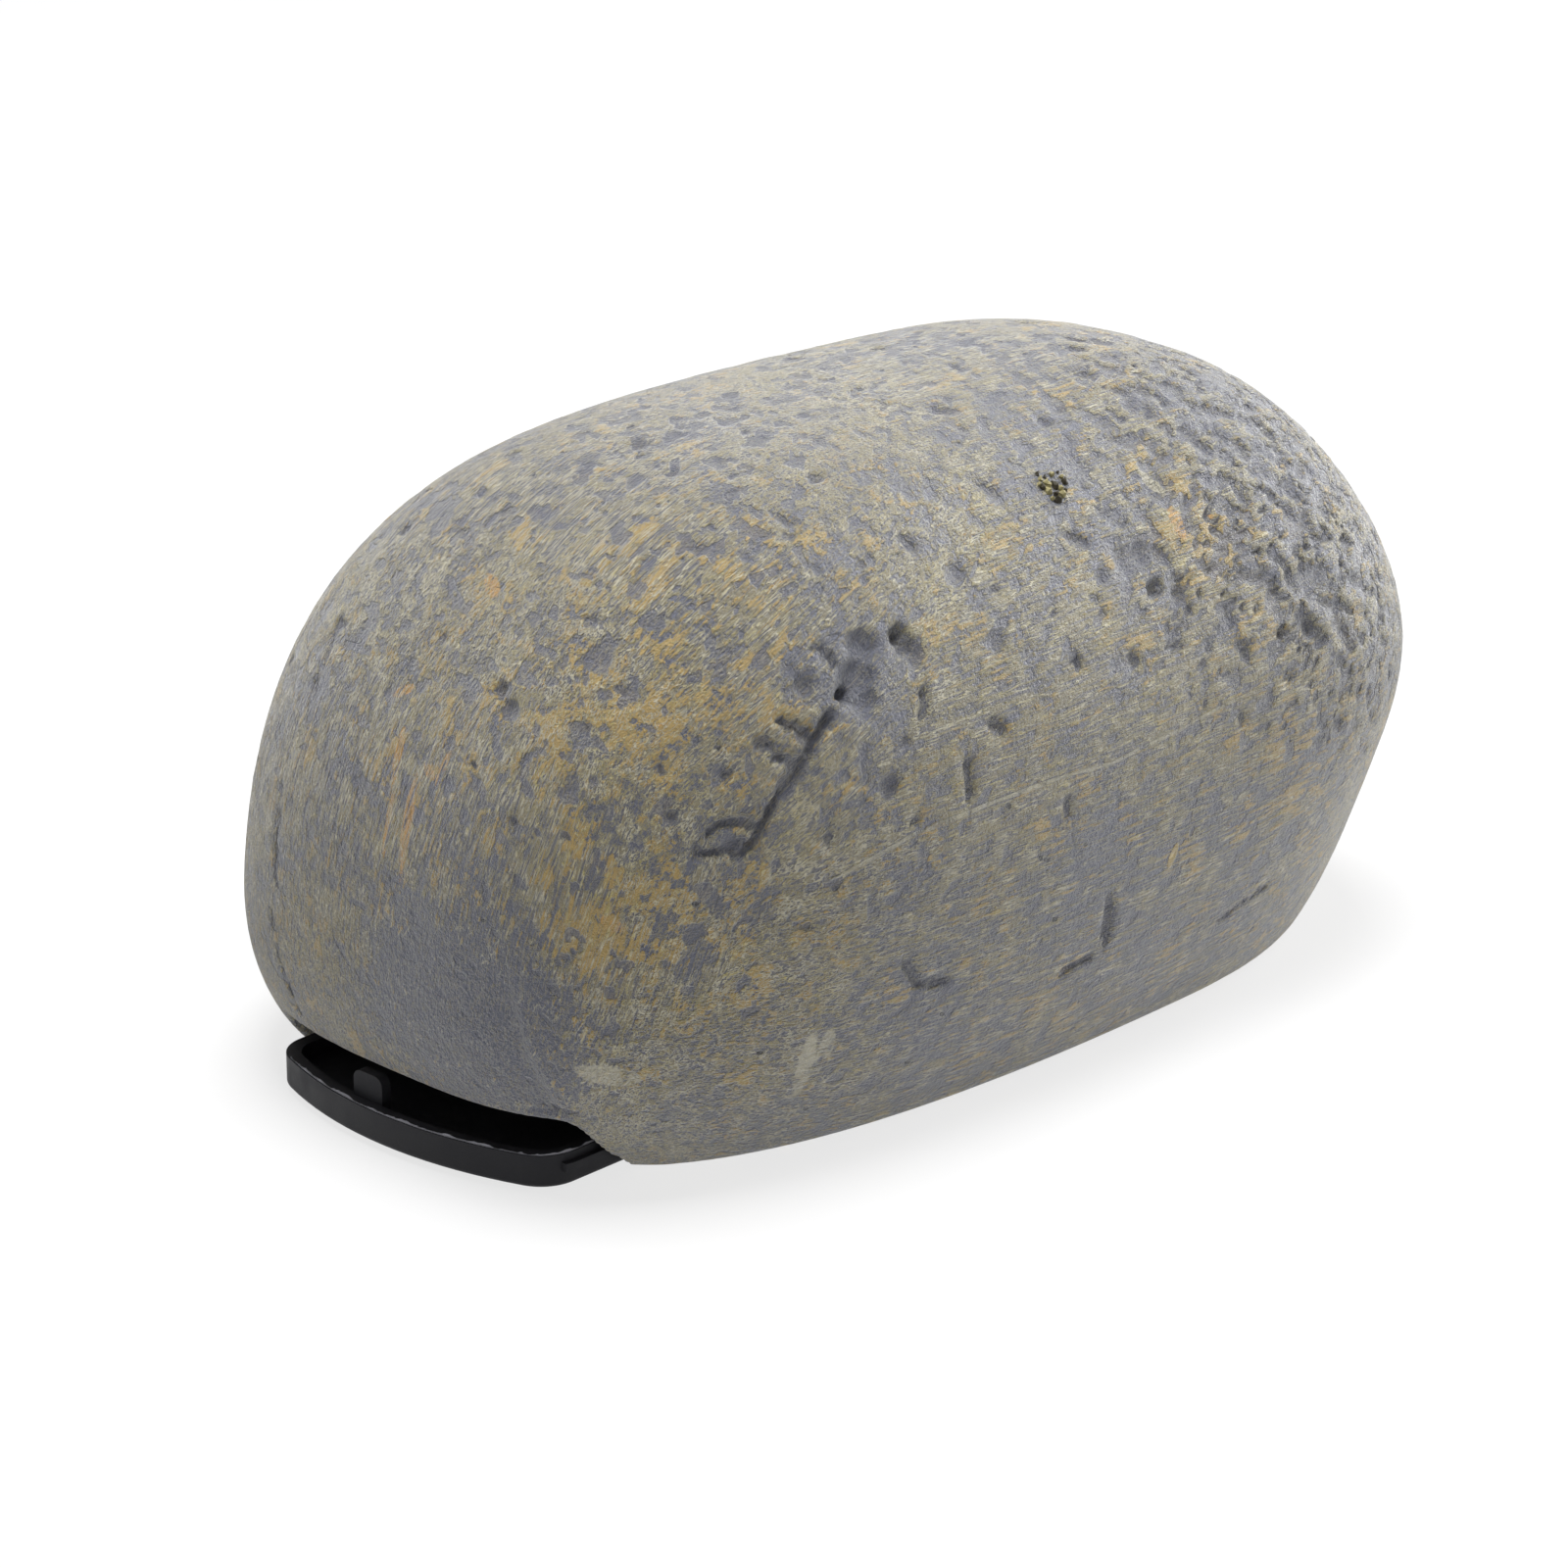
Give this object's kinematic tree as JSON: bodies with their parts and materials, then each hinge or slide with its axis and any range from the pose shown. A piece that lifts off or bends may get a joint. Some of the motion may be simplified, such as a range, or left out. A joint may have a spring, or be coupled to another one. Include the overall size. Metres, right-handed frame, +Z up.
{
  "type": "hide a key rock",
  "caption": "Imitation river stone in cast resin, with a shallow black tray for a spare key that slides out of its left end.",
  "frame": {"origin": "middle of the flat base, on the surface that the rock stands on", "axes": "+X along the rock, away from the end that the tray slides out of; +Y across it; +Z up"},
  "size_m": [0.1, 0.066, 0.052],
  "materials": {
    "painted_resin": "cast resin, painted blue-grey and dry-brushed in ochre and tan",
    "black_plastic": "moulded black plastic",
    "tray_plastic": "moulded black plastic, satin"
  },
  "bodies": {
    "rock": {"rock_shell": "painted_resin", "key_box": "black_plastic"},
    "tray": {"slide_tray": "tray_plastic"}
  },
  "joints": [
    {"name": "tray_slide", "type": "slide", "parent": "rock", "child": "tray", "axis": [-1, 0, 0], "range_m": [-0.0055, 0.043]}
  ]
}
